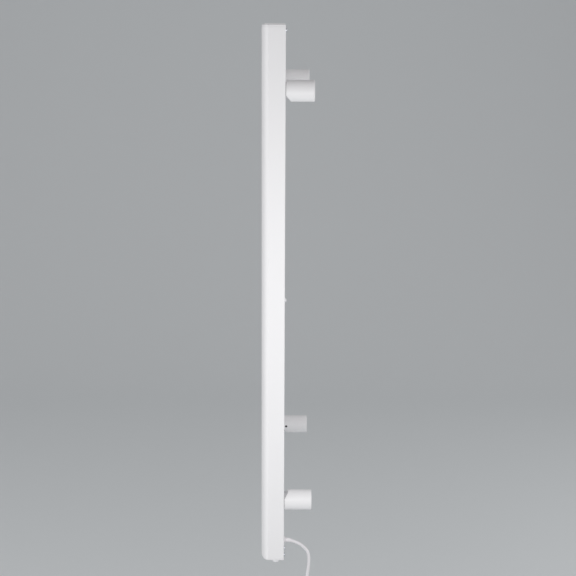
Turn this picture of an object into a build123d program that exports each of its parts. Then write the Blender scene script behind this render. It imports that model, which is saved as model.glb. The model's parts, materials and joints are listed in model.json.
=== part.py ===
from build123d import *
import os
from math import cos, dist, pi, radians, sin, sqrt, tan

# Wall-hung electric towel rail, in millimetres, one STEP file for each separate piece.
# X runs along the width, +Y points into the wall and +Z up. The origin lies on the wall
# plane, in the middle of the four wall fixings. The cord and the switch are on the right (+X).

# How far a cut goes past the faces that it opens
OVERCUT = 1.0

# Overall size
HEIGHT = 1000.0
WIDTH = 500.0
STAND_OFF = 52.0
RAIL_DEPTH = 43.0

# Extruded uprights: a quarter ellipse makes the front outer corner
UPRIGHT_WIDTH = 40.0
PROFILE_WALL = 2.0
NOSE_WIDTH = 36.0
NOSE_DEPTH = 14.0
FRONT_FLAT = 0.5
INNER_CORNER = 2.5
REAR_CORNER = 1.2

# End caps
CAP_THICKNESS = 4.0
CAP_EDGE = 0.6
CAP_GROOVE_HEIGHT = 0.8
CAP_GROOVE_DEPTH = 0.6
SPIGOT_CLEARANCE = 0.2
SPIGOT_WALL = 1.8
TOP_SPIGOT = 16.0
BOTTOM_SPIGOT = 10.0
BOSS_WIDTH = 8.5
BOSS_DEPTH = 4.8
CAP_SCREW_OFFSET = 10.0
TOP_SCREW_INSET = 9.0
BOTTOM_SCREW_INSET = 7.0
TONGUE_THICKNESS = 2.0
TONGUE_WIDTH = 21.5
TONGUE_SIDE = 4.5
TONGUE_OVER_BLOCK = 3.0
CAP_DRILL = 16.0

# Screws
SCREW_FIT = 0.05
PAN_HEAD_RADIUS = 3.75
PAN_HEAD_HEIGHT = 2.3
PAN_ROUNDING_SHARE = 0.6
CROSS_LENGTH = 3.6
CROSS_WIDTH = 0.9
CROSS_DEPTH = 1.2
CAP_SCREW_RADIUS = 1.7
CAP_SCREW_LENGTH = 8.0
EARTH_SCREW_RADIUS = 1.95
EARTH_SCREW_LENGTH = 7.0
EARTH_NUT_RADIUS = 3.5
EARTH_NUT_HEIGHT = 2.4
EARTH_SCREW_HEIGHT = 20.5

# Towel bars, in groups with a wider towel gap between them
BAR_RADIUS = 11.0
BAR_WALL = 1.5
BAR_FIT = 0.05
BAR_ENTRY = 5.0
BAR_PITCH = 42.0
BARS_IN_GROUP = 4
GROUPS = 4
BAR_ABOVE_BLOCK = 14.0
TOP_MARGIN = 34.0

# Wall posts, the necks that slide in them, and their screws
FIXING_INSET = 115.0
POST_RADIUS = 19.25
POST_BORE = 15.65
POST_FLOOR = 5.0
POST_MOUTH_GAP = 0.8
POST_EDGE = 2.0
WALL_SCREW_HOLE = 2.75
CUT_REACH = 12.0
CUT_DEPTH = 9.0
# How each post is turned, by its side and level: the X way of its set screw, the Z way of its cut
POST_TURNS = {(1, 1): (-1, -1), (1, -1): (-1, 1), (-1, 1): (-1, -1), (-1, -1): (1, -1)}
SET_SCREW_RADIUS = 2.45
SET_SCREW_SETBACK = 5.0
SET_SCREW_SUNK = 0.65
SET_SCREW_KEY = 1.4
SET_SCREW_KEY_SHARE = 0.6
NECK_CLEARANCE = 0.3
NECK_LENGTH = 34.0
NECK_FLOOR = 10.0
NECK_RECESS = 11.0
NECK_BOLT_RADIUS = 2.95
NECK_BOLT_REACH = 14.0
NECK_BOLT_HOLE = 3.2
BOLT_HEAD_RADIUS = 5.0
BOLT_HEAD_HEIGHT = 6.0
BOLT_KEY = 2.8
NUT_FLANGE_RADIUS = 6.5
NUT_FLANGE_HEIGHT = 1.2
NUT_FLANGE_FIT = 0.2
NUT_BARREL_RADIUS = 4.5
NUT_BULGE_RADIUS = 6.0
NUT_BULGE_HEIGHT = 3.0

# Heating cable and the two crimped joints at its ends
CABLE_RADIUS = 2.5
CABLE_BEND = 14.0
CABLE_TURN_OFFSET = 2.0
CABLE_LEAD_IN = 22.0
CABLE_END_SETBACK = 20.0
JOINT_RADIUS = 3.5
JOINT_LENGTH = 16.0
JOINT_CLEARANCE = 1.0
END_GAP = 0.1

# Safety cut-out near mid height, with its clip and rivet
CUTOUT_BASE = 14.0
CUTOUT_WIDTH = 12.0
CUTOUT_DEPTH = 6.0
CUTOUT_HEIGHT = 20.0
CLIP_THICKNESS = 0.8
CLIP_FIT = 0.1
CLIP_LIP_HEIGHT = 12.0
CLIP_HOOK = 1.5
CLIP_FOOT = 16.0
RIVET_DROP = 10.0
RIVET_RADIUS = 2.5
RIVET_HEAD_RADIUS = 3.75
RIVET_HEAD_HEIGHT = 3.0
RIVET_ROUNDING_SHARE = 0.8
RIVET_BULGE_RADIUS = 3.4
RIVET_BULGE_HEIGHT = 4.0

# Terminal block
BLOCK_BASE = 39.0
BLOCK_SIDE = 9.0
BLOCK_WIDTH = 14.0
BLOCK_DEPTH = 8.5
BLOCK_HEIGHT = 22.0
POLE_INSET = 6.0
WIRE_ENTRY = 3.0
WIRE_BORE = 1.2
CLAMP_RADIUS = 1.6
CLAMP_FIT = 0.1
CLAMP_INSET = 3.5
CLAMP_SUNK = 0.5
CLAMP_LENGTH = 2.8
CLAMP_SLOT_WIDTH = 0.6
CLAMP_SLOT_DEPTH = 0.6

# Wires
LEAD_RADIUS = 1.0
WIRE_RADIUS = 0.9
WIRE_BEND = 5.0
LANE_SIDE = 6.0
LANE_DEPTH = 4.0
LEAD_RUN = 12.0
LEAD_DROP = 6.0
LEAD_LANE_DROP = 16.0
CUTOUT_RUN = 8.0
CUTOUT_LANE_RISE = 14.0
LOWER_LEAD_SIDE = 1.5
LOWER_RUN = 5.0
LOWER_LANE_DROP = 13.0
BLOCK_LANE_RISE = 9.0
BLOCK_TURN_RISE = 4.0
BLOCK_TURN_DEPTH = 3.5
BLOCK_LANE_GAP = 4.5
CORE_SIDE = 1.5
CORE_SPREAD = 2.5
CORE_RUN = 4.0
CORE_TURN = 7.5
LIVE_LANE_GAP = 4.5
LIVE_TURN_DROP = 1.0
NEUTRAL_LANE_GAP = 8.5
NEUTRAL_TURN_RISE = 6.0
EARTH_CORE_SIDE = 3.0
EARTH_TURN_DROP = 5.0
EARTH_TURN_GAP = 6.5
EARTH_LANE_GAP = 7.5
SWITCH_LEAD_SIDE = 4.0
SWITCH_LEAD_RUN = 3.0
SWITCH_TURN_RISE = 8.0
SWITCH_TURN_DEPTH = 1.5
HEATER_LEAD_RUN = 3.5
LUG_RADIUS = 4.3
LUG_THICKNESS = 0.8
LUG_BARREL_RADIUS = 1.7
LUG_BARREL_LENGTH = 8.0
LUG_REACH = 13.5
LUG_OVERLAP = 2.0

# Push-button switch in the right bottom cap
SWITCH_SETBACK = 15.5
COLLAR_RADIUS = 10.0
COLLAR_HEIGHT = 2.5
THREAD_RADIUS = 8.75
THREAD_HEIGHT = 10.0
HOUSING_RADIUS = 8.0
HOUSING_HEIGHT = 16.0
SWITCH_HOLE_FIT = 0.15
SWITCH_NUT_RADIUS = 10.0
SWITCH_NUT_HEIGHT = 3.5
LIP_HEIGHT = 1.2
BUTTON_RADIUS = 6.5
BUTTON_REACH = 10.0
BUTTON_FIT = 0.1
BUTTON_EDGE = 0.8
FLANGE_RADIUS = 7.0
FLANGE_HEIGHT = 1.5
FLANGE_FIT = 0.15
FLANGE_REST_GAP = 0.3
SPRING_ROOM = 8.5
STEM_RADIUS = 2.0
STEM_FIT = 0.05
STEM_LENGTH = 11.0
STEM_BORE_DEPTH = 7.0
SPRING_RADIUS = 4.5
SPRING_WIRE = 0.35
SPRING_TURNS = 4
SPRING_END_GAP = 0.05

# Cord outlet
GLAND_HEIGHT = 33.0
GLAND_FLANGE_RADIUS = 7.0
GLAND_FLANGE_HEIGHT = 2.5
GLAND_NECK_RADIUS = 5.95
GLAND_NECK_LENGTH = 6.5
GLAND_NUT_RADIUS = 8.0
GLAND_NUT_HEIGHT = 3.5
SLEEVE_ROOT_RADIUS = 4.2
SLEEVE_TIP_RADIUS = 3.5
SLEEVE_STRAIGHT = 2.5
SLEEVE_BEND = 32.0
SLEEVE_TURN = 18.0
SLEEVE_SECTIONS = 4

# Cord: the free stretch, as (y, z) from the middle of the outlet's hole in the upright
CORD_RADIUS = 3.0
CORD_FIRST_RUN = 8.6
CORD_RUNS = [
    (33.0, -10.0),
    (41.5, -17.5),
    (46.8, -26.0),
    (48.6, -38.0),
    (47.7, -55.0),
    (45.0, -73.5),
    (45.0, -90.0),
]
RUN_SHARE = 0.45

# Cord: the hank, drawn in at its waist, in two layers of two lanes
HANK_LANES = 2
LANE_STEP = 8.0
WAIST_HALF = 4.0
BELLY_HALF = 19.0
BELLY_HEIGHT = 60.0
LAYER_STEP = 6.6
HANK_LEAD_IN = 33.0
TAIL_REACH = 22.0
TAIL_DROP = 52.0
TAIL_END = 6.0
TIE_THICKNESS = 1.6
TIE_WIDTH = 8.0
TIE_GAP = 0.4

# Plug: an earthed round plug with two pins and side contacts
PLUG_SLEEVE_LENGTH = 22.0
PLUG_SLEEVE_ROOT = 4.0
PLUG_SLEEVE_END = 6.0
PLUG_LENGTH = 36.0
PLUG_BACK_RADIUS = 13.0
PLUG_FRONT_RADIUS = 18.5
PLUG_FRONT_HEIGHT = 16.0
PIN_RADIUS = 2.4
PIN_LENGTH = 19.0
PIN_SPREAD = 9.5
PIN_ROUNDING_SHARE = 0.6
PLUG_FLAT_DEPTH = 0.8
CONTACT_INSET = 0.5
CONTACT_WIDTH = 5.0
CONTACT_LENGTH = 14.0
CONTACT_THICKNESS = 0.8

# Planes and axes worked out from those sizes
TOP_Z = HEIGHT / 2
BOTTOM_Z = -HEIGHT / 2
OUTER_X = WIDTH / 2
INNER_X = OUTER_X - UPRIGHT_WIDTH
AXIS_X = OUTER_X - UPRIGHT_WIDTH / 2
BACK_Y = -STAND_OFF
FRONT_Y = BACK_Y - RAIL_DEPTH
BAR_Y = (BACK_Y + FRONT_Y) / 2
INSIDE_BACK_Y = BACK_Y - PROFILE_WALL
INSIDE_X = INNER_X + PROFILE_WALL
UPRIGHT_TOP = TOP_Z - CAP_THICKNESS
UPRIGHT_BOTTOM = BOTTOM_Z + CAP_THICKNESS
CAP_SCREW_X = AXIS_X + CAP_SCREW_OFFSET
TOP_SCREW_Z = TOP_Z - TOP_SCREW_INSET
BOTTOM_SCREW_Z = BOTTOM_Z + BOTTOM_SCREW_INSET
FIXING_Z = TOP_Z - FIXING_INSET
POST_FRONT_Y = BACK_Y + POST_MOUTH_GAP
NECK_RADIUS = POST_BORE - NECK_CLEARANCE
SPIGOT_INSET = PROFILE_WALL + SPIGOT_CLEARANCE
TONGUE_BACK_Y = BAR_Y - JOINT_RADIUS - JOINT_CLEARANCE - BLOCK_DEPTH
BLOCK_Z = BOTTOM_Z + BLOCK_BASE
BLOCK_X = INNER_X + BLOCK_SIDE
BLOCK_WIRE_Y = TONGUE_BACK_Y + BLOCK_DEPTH / 2
LIVE_Z = BLOCK_Z + POLE_INSET
NEUTRAL_Z = BLOCK_Z + BLOCK_HEIGHT - POLE_INSET
FIRST_BAR_Z = BLOCK_Z + BLOCK_HEIGHT + BAR_ABOVE_BLOCK
BAR_ROOM = TOP_Z - TOP_MARGIN - FIRST_BAR_Z - GROUPS * (BARS_IN_GROUP - 1) * BAR_PITCH
TOWEL_GAP = BAR_ROOM / (GROUPS - 1)
GROUP_STEP = (BARS_IN_GROUP - 1) * BAR_PITCH + TOWEL_GAP
BAR_HEIGHTS = [
    FIRST_BAR_Z + group * GROUP_STEP + bar * BAR_PITCH
    for group in range(GROUPS)
    for bar in range(BARS_IN_GROUP)
]
CABLE_TURN_X = AXIS_X + CABLE_TURN_OFFSET
CABLE_START_Z = FIRST_BAR_Z - CABLE_LEAD_IN
CABLE_END_X = INNER_X + BAR_ENTRY - CABLE_END_SETBACK
EARTH_Z = BOTTOM_Z + EARTH_SCREW_HEIGHT
SWITCH_Y = BACK_Y - SWITCH_SETBACK
SWITCH_TOP_Z = BOTTOM_Z + THREAD_HEIGHT + HOUSING_HEIGHT
LIP_Z = BOTTOM_Z - COLLAR_HEIGHT + LIP_HEIGHT
FLANGE_Z = LIP_Z + FLANGE_REST_GAP
SPRING_Z = FLANGE_Z + FLANGE_HEIGHT
GLAND_Z = BOTTOM_Z + GLAND_HEIGHT
CUTOUT_TOP_Z = CUTOUT_BASE + CUTOUT_HEIGHT
RIVET_Z = CUTOUT_BASE - RIVET_DROP
CUTOUT_BACK_Y = INSIDE_BACK_Y - CLIP_THICKNESS
CUTOUT_WIRE_Y = CUTOUT_BACK_Y - CUTOUT_DEPTH / 2
LANE_X = INSIDE_X + LANE_SIDE
LANE_Y = INSIDE_BACK_Y - LANE_DEPTH

UP = (0, 0, 1)
DOWN = (0, 0, -1)
OUTWARD = (0, -1, 0)
WALLWARD = (0, 1, 0)
RIGHTWARD = (1, 0, 0)


def rod(start, way, radius, length):
    """Round rod from a point along a direction."""
    place = Plane(origin=start, z_dir=way)
    return place * Cylinder(radius, length, align=(Align.CENTER, Align.CENTER, Align.MIN))


def cone(start, way, radius, end_radius, length):
    """Tapered round rod from a point along a direction."""
    place = Plane(origin=start, z_dir=way)
    return place * Cone(radius, end_radius, length, align=(Align.CENTER, Align.CENTER, Align.MIN))


def ring(start, way, radius, bore, length):
    """Round ring from a point along a direction."""
    return rod(start, way, radius, length) - rod(start, way, bore, length)


def block(low, high):
    """Box between two opposite corners."""
    middle = [(a + b) / 2 for a, b in zip(low, high)]
    return Pos(*middle) * Box(*[b - a for a, b in zip(low, high)])


def hex_prism(start, way, radius, depth):
    """Six-sided prism from a point along a direction, for a nut or for a key's hole."""
    return extrude(Plane(origin=start, z_dir=way) * RegularPolygon(radius, 6), depth)


def corner_radii(points, largest):
    """Largest fillets that the runs of a route allow, up to a limit."""
    radii = []
    for before, corner, after in zip(points, points[1:], points[2:]):
        run_in = Vector(*corner) - Vector(*before)
        run_out = Vector(*after) - Vector(*corner)
        half_turn = radians(run_in.get_angle(run_out) / 2)
        shorter = min(run_in.length, run_out.length)
        radii.append(min(largest, RUN_SHARE * shorter / tan(half_turn)))
    return radii


def tube(path, radius):
    """Round section swept along a path."""
    start = Plane(origin=path @ 0, z_dir=path % 0)
    return sweep(start * Circle(radius), path=path)


def wire(points, radius=WIRE_RADIUS, bend=WIRE_BEND):
    """Bent wire through a list of points."""
    return tube(FilletPolyline(*points, radius=corner_radii(points, bend)), radius)


def pan_screw(seat, way, radius, length):
    """Pan-head screw with a cross recess: the seat is under its head, the way along its shank."""
    back = tuple(-part for part in way)
    head = rod(seat, back, PAN_HEAD_RADIUS, PAN_HEAD_HEIGHT)
    place = Plane(origin=seat, z_dir=back)
    rim = head.edges().sort_by(Axis(seat, back))[-1]
    head = fillet(rim, PAN_HEAD_HEIGHT * PAN_ROUNDING_SHARE)
    cross = Box(CROSS_LENGTH, CROSS_WIDTH, 2 * CROSS_DEPTH) + Box(CROSS_WIDTH, CROSS_LENGTH, 2 * CROSS_DEPTH)
    return head + rod(seat, way, radius, length) - place * Pos(0, 0, PAN_HEAD_HEIGHT) * cross


def profile(inset):
    """Section of the right upright, drawn in by an inset."""
    outer, inner = OUTER_X - inset, INNER_X + inset
    front, back = FRONT_Y + inset, BACK_Y - inset
    nose_width = min(NOSE_WIDTH - inset, outer - inner - FRONT_FLAT)
    nose_depth = NOSE_DEPTH - inset
    centre = (outer - nose_width, front + nose_depth)
    sides = Polyline((centre[0], front), (inner, front), (inner, back), (outer, back), (outer, centre[1]))
    nose = EllipticalCenterArc(centre, nose_width, nose_depth, start_angle=-90, arc_size=90)
    face = make_face(sides + nose)
    for corner, radius in (
        ((inner, front), INNER_CORNER),
        ((inner, back), REAR_CORNER),
        ((outer, back), REAR_CORNER),
    ):
        if radius > inset:
            vertex = face.vertices().sort_by_distance((*corner, 0))[0]
            face = fillet(vertex, radius - inset)
    return face


def right_upright():
    """Right upright without the holes that only the cord side has."""
    body = Pos(0, 0, UPRIGHT_BOTTOM) * extrude(
        profile(0) - profile(PROFILE_WALL), UPRIGHT_TOP - UPRIGHT_BOTTOM
    )
    for height in BAR_HEIGHTS:
        start = (INNER_X - OVERCUT, BAR_Y, height)
        body -= rod(start, RIGHTWARD, BAR_RADIUS + BAR_FIT, PROFILE_WALL + 2 * OVERCUT)
    for level in (1, -1):
        body -= back_hole(AXIS_X, level * FIXING_Z, NUT_BARREL_RADIUS + SCREW_FIT)
    for height in (TOP_SCREW_Z, BOTTOM_SCREW_Z):
        body -= back_hole(CAP_SCREW_X, height, CAP_SCREW_RADIUS + SCREW_FIT)
    return body


def back_hole(x, z, radius):
    """Drill through the rear wall of an upright."""
    return rod((x, BACK_Y + OVERCUT, z), OUTWARD, radius, PROFILE_WALL + 2 * OVERCUT)


def cord_side_holes():
    """Drills for the earth screw, the cord outlet and the cut-out's rivet."""
    return [
        back_hole(CAP_SCREW_X, EARTH_Z, EARTH_SCREW_RADIUS + SCREW_FIT),
        back_hole(AXIS_X, GLAND_Z, GLAND_NECK_RADIUS + SCREW_FIT),
        back_hole(AXIS_X, RIVET_Z, RIVET_RADIUS + SCREW_FIT),
    ]


def right_cap(level, spigot):
    """Right end cap: level 1 is the top, level -1 the bottom."""
    plate = extrude(profile(0), CAP_THICKNESS)
    plate = fillet(plate.faces().sort_by(Axis.Z)[-1].edges(), CAP_EDGE)
    plate -= extrude(profile(0) - profile(CAP_GROOVE_DEPTH), CAP_GROOVE_HEIGHT)
    outline = profile(SPIGOT_INSET)
    hollow = profile(SPIGOT_INSET + SPIGOT_WALL)
    wall = Pos(0, 0, -spigot) * extrude(outline - hollow, spigot)
    back = INSIDE_BACK_Y - SPIGOT_CLEARANCE
    boss = block(
        (CAP_SCREW_X - BOSS_WIDTH / 2, back - BOSS_DEPTH, -spigot),
        (CAP_SCREW_X + BOSS_WIDTH / 2, back, 0),
    )
    cap = plate + wall + boss
    if level < 0:
        cap = mirror(cap, about=Plane.XY)
    cap = Pos(0, 0, UPRIGHT_TOP if level > 0 else UPRIGHT_BOTTOM) * cap
    height = TOP_SCREW_Z if level > 0 else BOTTOM_SCREW_Z
    return cap - rod((CAP_SCREW_X, BACK_Y, height), OUTWARD, CAP_SCREW_RADIUS + SCREW_FIT, CAP_DRILL)


def switch_cap():
    """Right bottom cap, with the switch hole and the tongue that carries the terminal block."""
    low_x = INNER_X + TONGUE_SIDE
    tongue = block(
        (low_x, TONGUE_BACK_Y - TONGUE_THICKNESS, UPRIGHT_BOTTOM),
        (low_x + TONGUE_WIDTH, TONGUE_BACK_Y, BLOCK_Z + BLOCK_HEIGHT + TONGUE_OVER_BLOCK),
    )
    mouth = (AXIS_X, SWITCH_Y, BOTTOM_Z - OVERCUT)
    hole = rod(mouth, UP, THREAD_RADIUS + SWITCH_HOLE_FIT, CAP_THICKNESS + 2 * OVERCUT)
    return right_cap(-1, BOTTOM_SPIGOT) + tongue - hole


def cap_screws():
    """The four screws that hold the caps."""
    return [
        pan_screw((side * CAP_SCREW_X, BACK_Y, height), OUTWARD, CAP_SCREW_RADIUS, CAP_SCREW_LENGTH)
        for side in (1, -1)
        for height in (TOP_SCREW_Z, BOTTOM_SCREW_Z)
    ]


def towel_bar(height):
    """Round tube across the two uprights."""
    reach = INNER_X + BAR_ENTRY
    return ring((-reach, BAR_Y, height), RIGHTWARD, BAR_RADIUS, BAR_RADIUS - BAR_WALL, 2 * reach)


def wall_post(side, level):
    """Cup on the wall, cut slantwise at its mouth."""
    x, z = side * AXIS_X, level * FIXING_Z
    post = rod((x, 0, z), OUTWARD, POST_RADIUS, -POST_FRONT_Y)
    post = fillet(post.edges().sort_by(Axis.Y)[-1], POST_EDGE)
    post -= rod((x, -POST_FLOOR, z), OUTWARD, POST_BORE, -POST_FRONT_Y)
    post -= rod((x, OVERCUT, z), OUTWARD, WALL_SCREW_HOLE, POST_FLOOR + 2 * OVERCUT)
    hole_y = POST_FRONT_Y + SET_SCREW_SETBACK
    screw_way, way = POST_TURNS[side, level]
    post -= rod((x, hole_y, z), (screw_way, 0, 0), SET_SCREW_RADIUS + SCREW_FIT, POST_RADIUS + OVERCUT)
    rim = POST_RADIUS - CUT_REACH
    corners = [
        (rim + share * CUT_REACH, POST_FRONT_Y + share * CUT_DEPTH) for share in (-0.5, 2.0)
    ]
    corners.append((corners[1][0], corners[0][1]))
    half = POST_RADIUS + OVERCUT
    points = [(x - half, y, z + way * reach) for reach, y in corners]
    return post - extrude(make_face(Polyline(*points, close=True)), 2 * half, dir=RIGHTWARD)


def set_screw(side, level):
    """Grub screw in a wall post, on the side that the post is turned to."""
    x, y, z = side * AXIS_X, POST_FRONT_Y + SET_SCREW_SETBACK, level * FIXING_Z
    way, _ = POST_TURNS[side, level]
    length = POST_RADIUS - SET_SCREW_SUNK - POST_BORE
    screw = rod((x + way * POST_BORE, y, z), (way, 0, 0), SET_SCREW_RADIUS, length)
    mouth = (x + way * (POST_BORE + length), y, z)
    return screw - hex_prism(mouth, (-way, 0, 0), SET_SCREW_KEY, length * SET_SCREW_KEY_SHARE)


def neck(side, level):
    """Round neck bolted to an upright's back, which slides in its wall post."""
    x, z = side * AXIS_X, level * FIXING_Z
    body = rod((x, BACK_Y, z), WALLWARD, NECK_RADIUS, NECK_LENGTH)
    body -= rod((x, BACK_Y + NECK_FLOOR, z), WALLWARD, NECK_RECESS, NECK_LENGTH)
    body -= rod((x, BACK_Y - OVERCUT, z), WALLWARD, NECK_BOLT_HOLE, NECK_FLOOR + 2 * OVERCUT)
    well = NUT_FLANGE_HEIGHT + END_GAP
    return body - rod((x, BACK_Y, z), WALLWARD, NUT_FLANGE_RADIUS + NUT_FLANGE_FIT, well)


def neck_bolt(side, level):
    """Socket-head bolt through a neck into its rivet nut."""
    x, z = side * AXIS_X, level * FIXING_Z
    seat = (x, BACK_Y + NECK_FLOOR, z)
    top = (x, BACK_Y + NECK_FLOOR + BOLT_HEAD_HEIGHT, z)
    bolt = rod(seat, WALLWARD, BOLT_HEAD_RADIUS, BOLT_HEAD_HEIGHT)
    bolt += rod(seat, OUTWARD, NECK_BOLT_RADIUS, NECK_FLOOR + NECK_BOLT_REACH)
    return bolt - hex_prism(top, OUTWARD, BOLT_KEY, BOLT_HEAD_HEIGHT / 2)


def rivet_nut(side, level):
    """Threaded insert set into the rear wall of an upright."""
    x, z = side * AXIS_X, level * FIXING_Z
    body = rod((x, BACK_Y, z), WALLWARD, NUT_FLANGE_RADIUS, NUT_FLANGE_HEIGHT)
    body += rod((x, BACK_Y, z), OUTWARD, NUT_BARREL_RADIUS, NECK_BOLT_REACH)
    body += rod((x, INSIDE_BACK_Y, z), OUTWARD, NUT_BULGE_RADIUS, NUT_BULGE_HEIGHT)
    start = (x, BACK_Y + NUT_FLANGE_HEIGHT + OVERCUT, z)
    length = NUT_FLANGE_HEIGHT + NECK_BOLT_REACH + 2 * OVERCUT
    return body - rod(start, OUTWARD, NECK_BOLT_RADIUS + SCREW_FIT, length)


def heating_cable():
    """One cable that goes up through all the bars, turning in the uprights."""
    points = [(CABLE_TURN_X, BAR_Y, CABLE_START_Z)]
    for number, height in enumerate(BAR_HEIGHTS):
        side = 1 if number % 2 == 0 else -1
        points += [(side * CABLE_TURN_X, BAR_Y, height), (-side * CABLE_TURN_X, BAR_Y, height)]
    points[-1] = (CABLE_END_X, BAR_Y, BAR_HEIGHTS[-1])
    return tube(FilletPolyline(*points, radius=CABLE_BEND), CABLE_RADIUS)


def heater_joints():
    """Crimped joints at the two ends of the heating cable."""
    return [
        rod((CABLE_TURN_X, BAR_Y, CABLE_START_Z), DOWN, JOINT_RADIUS, JOINT_LENGTH),
        rod((CABLE_END_X, BAR_Y, BAR_HEIGHTS[-1]), RIGHTWARD, JOINT_RADIUS, JOINT_LENGTH),
    ]


def thermal_cutout():
    """Flat safety cut-out that lies on its clip."""
    half = CUTOUT_WIDTH / 2
    return block(
        (AXIS_X - half, CUTOUT_BACK_Y - CUTOUT_DEPTH, CUTOUT_BASE),
        (AXIS_X + half, CUTOUT_BACK_Y, CUTOUT_TOP_Z),
    )


def cutout_clip():
    """Sheet clip: a base riveted to the upright, with two hooked lips round the cut-out."""
    half = CUTOUT_WIDTH / 2 + CLIP_FIT + CLIP_THICKNESS
    middle = (CUTOUT_BASE + CUTOUT_TOP_Z) / 2
    low, high = middle - CLIP_LIP_HEIGHT / 2, middle + CLIP_LIP_HEIGHT / 2
    front = CUTOUT_BACK_Y - CUTOUT_DEPTH - CLIP_FIT - CLIP_THICKNESS
    base = block(
        (AXIS_X - half, CUTOUT_BACK_Y, CUTOUT_BASE - CLIP_FOOT),
        (AXIS_X + half, INSIDE_BACK_Y, CUTOUT_TOP_Z),
    )
    lip = block((AXIS_X + half - CLIP_THICKNESS, front, low), (AXIS_X + half, INSIDE_BACK_Y, high))
    lip += block(
        (AXIS_X + half - CLIP_THICKNESS - CLIP_HOOK, front, low),
        (AXIS_X + half, front + CLIP_THICKNESS, high),
    )
    other = mirror(lip, about=Plane(origin=(AXIS_X, 0, 0), z_dir=RIGHTWARD))
    depth = PROFILE_WALL + CLIP_THICKNESS + OVERCUT
    return base + lip + other - rod((AXIS_X, BACK_Y, RIVET_Z), OUTWARD, RIVET_RADIUS + SCREW_FIT, depth)


def cutout_rivet():
    """Blind rivet whose domed head shows at the back of the upright."""
    seat = (AXIS_X, BACK_Y, RIVET_Z)
    head = rod(seat, WALLWARD, RIVET_HEAD_RADIUS, RIVET_HEAD_HEIGHT)
    head = fillet(head.edges().sort_by(Axis.Y)[-1], RIVET_HEAD_HEIGHT * RIVET_ROUNDING_SHARE)
    shank = rod(seat, OUTWARD, RIVET_RADIUS, PROFILE_WALL + CLIP_THICKNESS + RIVET_BULGE_HEIGHT)
    bulge_seat = (AXIS_X, CUTOUT_BACK_Y, RIVET_Z)
    return head + shank + rod(bulge_seat, OUTWARD, RIVET_BULGE_RADIUS, RIVET_BULGE_HEIGHT)


def return_lead_upper():
    """Lead from the cable's upper end down to the cut-out."""
    joint_end = CABLE_END_X + JOINT_LENGTH + END_GAP
    top = BAR_HEIGHTS[-1]
    entry = AXIS_X - CUTOUT_WIDTH / 4
    return wire(
        [
            (joint_end, BAR_Y, top),
            (joint_end + LEAD_RUN, BAR_Y, top),
            (joint_end + LEAD_RUN, LANE_Y, top - LEAD_DROP),
            (LANE_X, LANE_Y, top - LEAD_LANE_DROP),
            (LANE_X, LANE_Y, CUTOUT_TOP_Z + CUTOUT_LANE_RISE),
            (entry, CUTOUT_WIRE_Y, CUTOUT_TOP_Z + CUTOUT_RUN),
            (entry, CUTOUT_WIRE_Y, CUTOUT_TOP_Z + END_GAP),
        ],
        LEAD_RADIUS,
    )


def return_lead_lower():
    """Lead from the cut-out down to the neutral pole."""
    entry = AXIS_X - CUTOUT_WIDTH / 4 - LOWER_LEAD_SIDE
    pole_x = BLOCK_X + WIRE_ENTRY
    lane_x = BLOCK_X - BLOCK_LANE_GAP
    return wire(
        [
            (entry, CUTOUT_WIRE_Y, CUTOUT_BASE - END_GAP),
            (entry, CUTOUT_WIRE_Y, CUTOUT_BASE - LOWER_RUN),
            (LANE_X, LANE_Y, CUTOUT_BASE - LOWER_LANE_DROP),
            (LANE_X, LANE_Y, NEUTRAL_Z + BLOCK_LANE_RISE),
            (lane_x, BAR_Y + BLOCK_TURN_DEPTH, NEUTRAL_Z + BLOCK_TURN_RISE),
            (lane_x, BLOCK_WIRE_Y, NEUTRAL_Z),
            (pole_x, BLOCK_WIRE_Y, NEUTRAL_Z),
        ],
        LEAD_RADIUS,
    )


def clamp_places():
    """X and Z of the four clamp screws of the terminal block."""
    return [
        (x, z)
        for x in (BLOCK_X + CLAMP_INSET, BLOCK_X + BLOCK_WIDTH - CLAMP_INSET)
        for z in (LIVE_Z, NEUTRAL_Z)
    ]


def terminal_block():
    """Two-pole mains block on the tongue."""
    back = TONGUE_BACK_Y + BLOCK_DEPTH
    body = block(
        (BLOCK_X, TONGUE_BACK_Y, BLOCK_Z), (BLOCK_X + BLOCK_WIDTH, back, BLOCK_Z + BLOCK_HEIGHT)
    )
    for z in (LIVE_Z, NEUTRAL_Z):
        start = (BLOCK_X - OVERCUT, BLOCK_WIRE_Y, z)
        body -= rod(start, RIGHTWARD, WIRE_BORE, BLOCK_WIDTH + 2 * OVERCUT)
    for x, z in clamp_places():
        body -= rod((x, back, z), OUTWARD, CLAMP_RADIUS + CLAMP_FIT, BLOCK_DEPTH / 2)
    return body


def terminal_screws():
    """Slotted clamp screws of the terminal block."""
    top = TONGUE_BACK_Y + BLOCK_DEPTH - CLAMP_SUNK
    screws = []
    for x, z in clamp_places():
        slot = Pos(x, top, z) * Box(2 * CLAMP_RADIUS, 2 * CLAMP_SLOT_DEPTH, CLAMP_SLOT_WIDTH)
        screws.append(rod((x, top, z), OUTWARD, CLAMP_RADIUS, CLAMP_LENGTH - CLAMP_SUNK) - slot)
    return screws


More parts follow.
